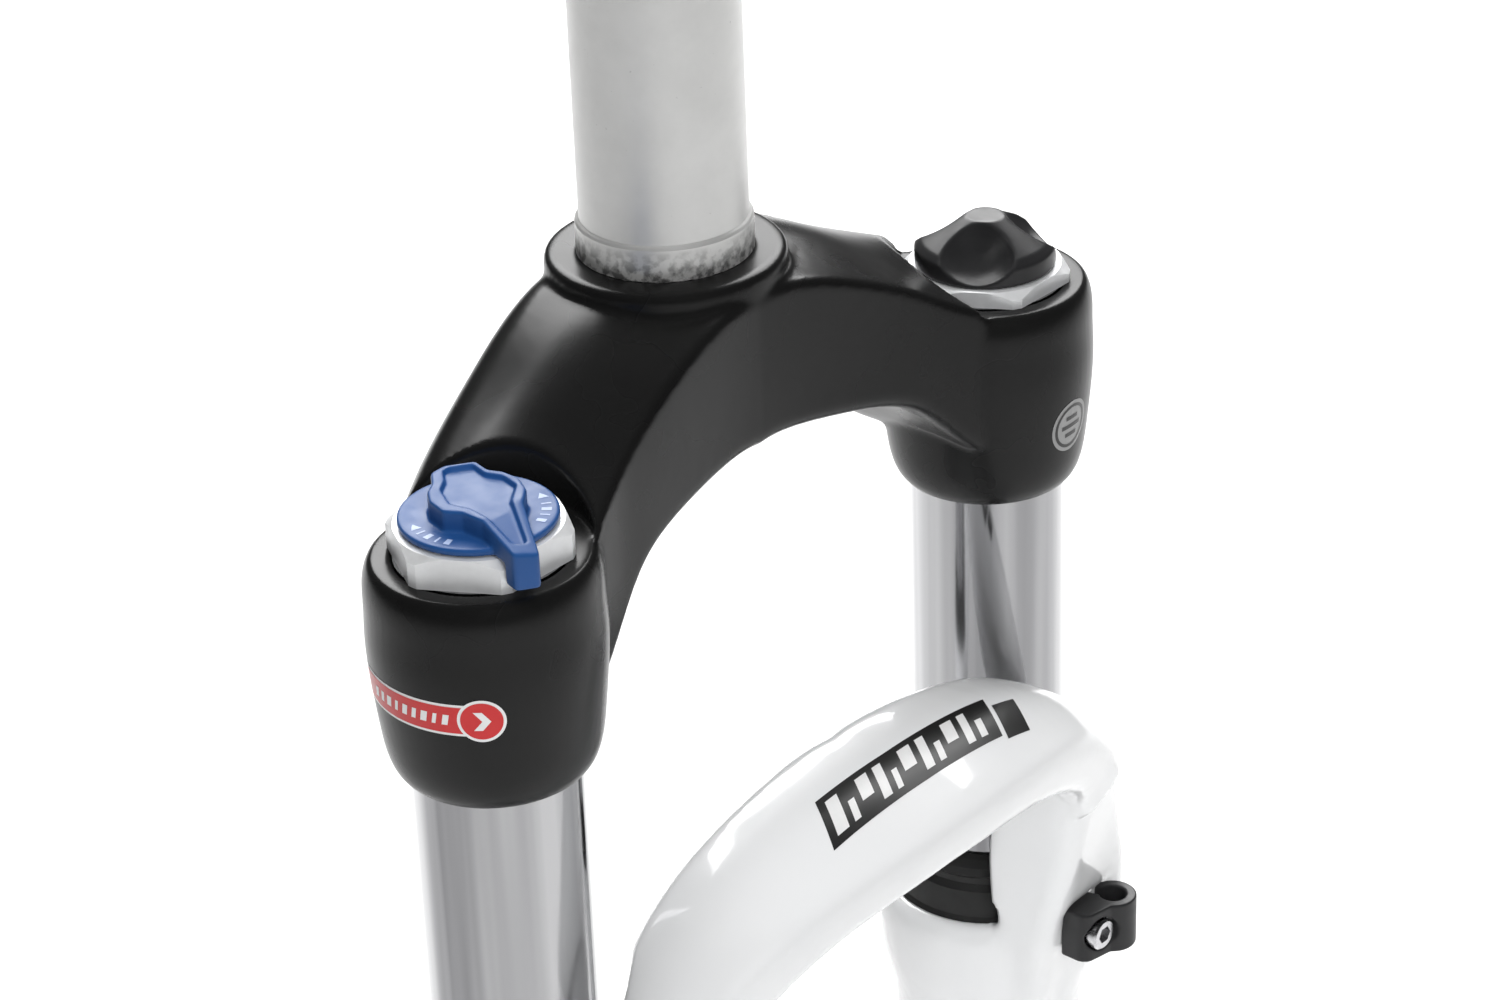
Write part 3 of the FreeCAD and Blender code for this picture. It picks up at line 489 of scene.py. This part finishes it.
def sleeve_band(tree, films):
    """Red band that ends in a dot with a chevron, round the outside of the right sleeve."""
    dot_angle = -139.0
    band_end = -215.0
    middle = -44.2
    degrees_per_mm = math.degrees(1 / SLEEVE_R)
    mark_half = 0.95
    mark_lean = 1.2

    def strip(name, half, lift, colour, start, end):
        low = middle - half
        high = middle + half
        corners = [(start, low), (end, low), (end, high), (start, high)]
        rows = quad_rows(around_leg(tree, -1, lift), corners, 2, 60)
        film(name, rows, films[colour], "upper")

    strip("band_border", 2.9, 0.05, "white", dot_angle, band_end)
    strip("band_red", 2.45, 0.09, "red", dot_angle, band_end + 1.5)
    discs = [("dot_border", 3.9, 0.12, "white"), ("dot_red", 3.4, 0.15, "red")]
    for name, radius, lift, colour in discs:
        rows = disc_rows(around_leg(tree, -1, lift), (dot_angle, middle), 0.0, radius, degrees_per_mm)
        film(name, rows, films[colour], "upper")
    chevron = [(-1.3, 1.7), (0.1, 1.7), (1.5, 0.0), (0.1, -1.7), (-1.3, -1.7), (0.1, 0.0)]
    upper = [chevron[0], chevron[1], chevron[2], chevron[5]]
    lower = [chevron[5], chevron[2], chevron[3], chevron[4]]
    for name, part in (("chevron_upper", upper), ("chevron_lower", lower)):
        corners = [(dot_angle + x * degrees_per_mm, middle + z) for x, z in part]
        rows = quad_rows(around_leg(tree, -1, 0.19), corners, 3, 3)
        film(name, rows, films["white"], "upper")
    for k in range(9):
        centre = dot_angle - 18.0 - k * 5.6
        width = (1.5, 1.0, 1.7, 1.2)[k % 4]
        corners = [
            (centre - width, middle - mark_half),
            (centre + width, middle - mark_half),
            (centre + width + mark_lean, middle + mark_half),
            (centre - width + mark_lean, middle + mark_half),
        ]
        rows = quad_rows(around_leg(tree, -1, 0.12), corners, 2, 3)
        film(f"band_mark_{k}", rows, films["white"], "upper")


def sleeve_badge(tree, films):
    """Plain grey badge on the front of the left sleeve."""
    angle = -88.0
    middle = -48.8
    degrees_per_mm = math.degrees(1 / 18.9)
    bar_half = 0.4
    bar_pitch = 1.7

    def ring(name, inner, outer, lift, colour):
        place = around_leg(tree, 1, lift)
        rows = disc_rows(place, (angle, middle), inner, outer, degrees_per_mm)
        film(name, rows, films[colour], "upper")

    ring("badge_disc", 0.0, 5.0, 0.06, "silver")
    ring("badge_ring", 3.7, 4.3, 0.1, "black")
    for k, width in enumerate((1.6, 2.6, 1.6)):
        z = middle + (k - 1) * bar_pitch
        reach = width * degrees_per_mm
        corners = [
            (angle - reach, z - bar_half),
            (angle + reach, z - bar_half),
            (angle + reach, z + bar_half),
            (angle - reach, z + bar_half),
        ]
        rows = quad_rows(around_leg(tree, 1, 0.1), corners, 2, 6)
        film(f"badge_bar_{k}", rows, films["black"], "upper")


def brace_graphic(tree, films):
    """Black slanted plate with plain white bars, and a small block beside it."""
    front = -53.9
    back = -45.1
    slant = 5.6
    bar_gap = 1.55
    margin = 1.3

    def plate(name, start, end, low, high, lift, colour, steps):
        share_low = (low - front) / (back - front)
        share_high = (high - front) / (back - front)
        corners = [
            (start + slant * share_low, low),
            (end + slant * share_low, low),
            (end + slant * share_high, high),
            (start + slant * share_high, high),
        ]
        rows = quad_rows(on_brace(tree, lift), corners, 10, steps)
        film(name, rows, films[colour], "lowers")

    plate("brace_plate", -23.6, 21.8, front, back, 0.06, "black", 60)
    plate("brace_block", 22.9, 29.0, front - 0.9, back - 2.3, 0.06, "black", 10)
    widths = (3.0, 1.6, 3.0, 2.2, 1.4, 3.2, 2.2, 1.6, 3.0, 2.0, 1.8)
    x = -21.8
    for k, width in enumerate(widths):
        low = front + margin
        high = back - margin
        if k % 3 == 1:
            high -= 2.6
        if k % 3 == 2:
            low += 2.0
        plate(f"brace_bar_{k}", x, x + width, low, high, 0.11, "white", 6)
        x += width + bar_gap


def lever_marks(films):
    """Arrow and dashes beside the lever on the disc, one set for each end of its turn."""
    top = DIAL_TOP + 0.04
    film_material = films["pale_blue"]

    def place(angle, radius):
        turn = math.radians(angle)
        x = -LEG_X + radius * MM * math.cos(turn)
        y = LEG_Y + radius * MM * math.sin(turn)
        return Vector((x, y, top * MM))

    def mark(name, angle, half_angle, tip):
        """A dash, or an arrowhead whose tip is -1 or 1."""
        start = angle - half_angle
        end = angle + half_angle
        corners = [(start, 9.9), (start, 11.5), (end, 11.5), (end, 9.9)]
        if tip:
            middle = 10.7
            point = angle + tip * half_angle
            base = angle - tip * half_angle
            corners = [(base, 9.8), (base, 11.6), (point, middle + 0.05), (point, middle - 0.05)]
        film(name, quad_rows(place, corners, 3, 3), film_material, "lockout_dial")

    mark("lock_arrow", 157.5, 4.5, -1)
    mark("open_arrow", -24.0, 4.5, 1)
    for k in range(4):
        mark(f"lock_dash_{k}", 169.0 + k * 10.0, 1.0 + (k % 2) * 1.6, 0)
        mark(f"open_dash_{k}", -39.0 - k * 10.0, 1.0 + (k % 2) * 1.6, 0)


# Camera, floor and light

CAMERA_PLACE = (-0.43283, -0.40717, 0.26685)
CAMERA_BACK = (-0.65576, -0.59139, 0.46929)
CAMERA_ROLL = -2.16
CAMERA_LENS = 93.36
AWAY_FROM_CAMERA = (0.743, 0.669, 0.1)


def add_camera():
    """Above and outside the right leg, looking down past the steerer."""
    data = bpy.data.cameras.new("camera")
    data.lens = CAMERA_LENS
    data.sensor_width = 36.0
    data.clip_end = 20.0
    camera = bpy.data.objects.new("camera", data)
    bpy.context.scene.collection.objects.link(camera)
    turn = Vector(CAMERA_BACK).to_track_quat("Z", "Y").to_matrix()
    roll = Matrix.Rotation(math.radians(CAMERA_ROLL), 3, "Z")
    camera.matrix_world = Matrix.Translation(CAMERA_PLACE) @ (turn @ roll).to_4x4()
    bpy.context.scene.camera = camera


def add_floor():
    """A plain pale floor under the dropouts."""
    bpy.ops.mesh.primitive_plane_add(size=14.0, location=(0, 0, FLOOR_Z))
    floor = bpy.context.object
    floor.name = "floor"
    s = Shading("floor_paper")
    s.colour(s.mix(s.noise(3.0), (0.80, 0.80, 0.80), (0.83, 0.83, 0.83)))
    s.set(Roughness=0.9, Specular_IOR_Level=0.1)
    floor.data.materials.append(s.material)
    floor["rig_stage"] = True


def add_light(name, place, target, size, power, in_reflections=True):
    """A soft rectangular lamp aimed at a point."""
    data = bpy.data.lights.new(name, "AREA")
    data.shape = "RECTANGLE"
    data.size, data.size_y = size
    data.energy = power
    lamp = bpy.data.objects.new(name, data)
    lamp.location = place
    lamp.rotation_euler = (Vector(place) - Vector(target)).to_track_quat("Z", "Y").to_euler()
    lamp.visible_glossy = in_reflections
    bpy.context.scene.collection.objects.link(lamp)


def add_world():
    """Soft grey surround, lighter on the far side of the fork."""
    world = bpy.data.worlds.new("studio")
    bpy.context.scene.world = world
    world.use_nodes = True
    tree = world.node_tree
    direction = tree.nodes.new("ShaderNodeTexCoord").outputs["Generated"]
    along = tree.nodes.new("ShaderNodeVectorMath")
    along.operation = "DOT_PRODUCT"
    along.inputs[1].default_value = AWAY_FROM_CAMERA
    tree.links.new(direction, along.inputs[0])
    ramp = tree.nodes.new("ShaderNodeMapRange")
    for key, number in zip(("From Min", "From Max", "To Min", "To Max"), (-0.5, 0.8, 0.42, 0.95)):
        ramp.inputs[key].default_value = number
    tree.links.new(along.outputs["Value"], ramp.inputs["Value"])
    tree.links.new(ramp.outputs["Result"], tree.nodes["Background"].inputs["Strength"])


def add_lights():
    """Large soft lamps: one for the floor behind, one overhead and a fill from the front."""
    add_world()
    behind = (1.5, 1.3, FLOOR_Z)
    wide = (2.4, 2.4)
    soft = (1.2, 1.2)
    add_light("floor_lamp", (1.7, 1.5, 1.5), behind, wide, 150.0)
    add_light("overhead", (-0.1, -0.1, 1.5), (0, 0, 0), soft, 14.0, False)
    add_light("front_fill", (-1.0, -1.6, 0.9), (0, 0, -0.1), soft, 26.0, False)
    bpy.context.scene.view_settings.view_transform = "Standard"


def write_sizes():
    """Both boxes, the CAD model's and the visual model's, as plain lists; they are not written anywhere."""
    boxes = {"cad": cad_bounds, "visual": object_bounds()}
    plain = {key: [list(map(float, corner)) for corner in box] for key, box in boxes.items()}


def crown_bores():
    """Bores and cap pockets of the crown, which the fillets must leave open."""
    bottom = -80 * MM
    top = 5 * MM
    pocket_floor = -24.5 * MM
    bores = [((0, 0), STEERER_R, bottom, top)]
    for side in (-1, 1):
        centre = (side * LEG_X, LEG_Y)
        bores.append((centre, STANCHION_R, bottom, top))
        bores.append((centre, POCKET_R, pocket_floor, top))
    return bores


def casting_bores():
    """Wiper seats of the casting, open upwards."""
    bottom = -168 * MM
    top = -60 * MM
    return [((side * LEG_X, LEG_Y), WIPER_SEAT_R, bottom, top) for side in (-1, 1)]


def build_films():
    """Colours of the graphics."""
    return {
        "white": plain("print_white", (0.85, 0.85, 0.85), 0.3),
        "red": plain("print_red", (0.62, 0.018, 0.02), 0.3),
        "black": plain("print_black", (0.012, 0.012, 0.012), 0.3),
        "silver": plain("print_silver", (0.32, 0.32, 0.32), 0.4),
        "pale_blue": plain("print_pale_blue", (0.38, 0.48, 0.72), 0.4),
    }


MATERIALS = build_materials()
dress_nodes(MATERIALS)
crown = softened("crown", 0.6 * MM, 0.45, 4.5, crown_bores())
casting = softened("lower_casting", 1.0 * MM, 0.8, 3.2, casting_bores())
softened("lockout_knob", 0.16 * MM, 0.28, 0.0)
softened("preload_knob", 0.16 * MM, 0.25, 0.7)
softened("hose_guide", 0.13 * MM, 0.22, 0.0)
films = build_films()
crown_tree = surface_of(crown)
casting_tree = surface_of(casting)
sleeve_band(crown_tree, films)
sleeve_badge(crown_tree, films)
brace_graphic(casting_tree, films)
lever_marks(films)
add_camera()
add_floor()
add_lights()
write_sizes()
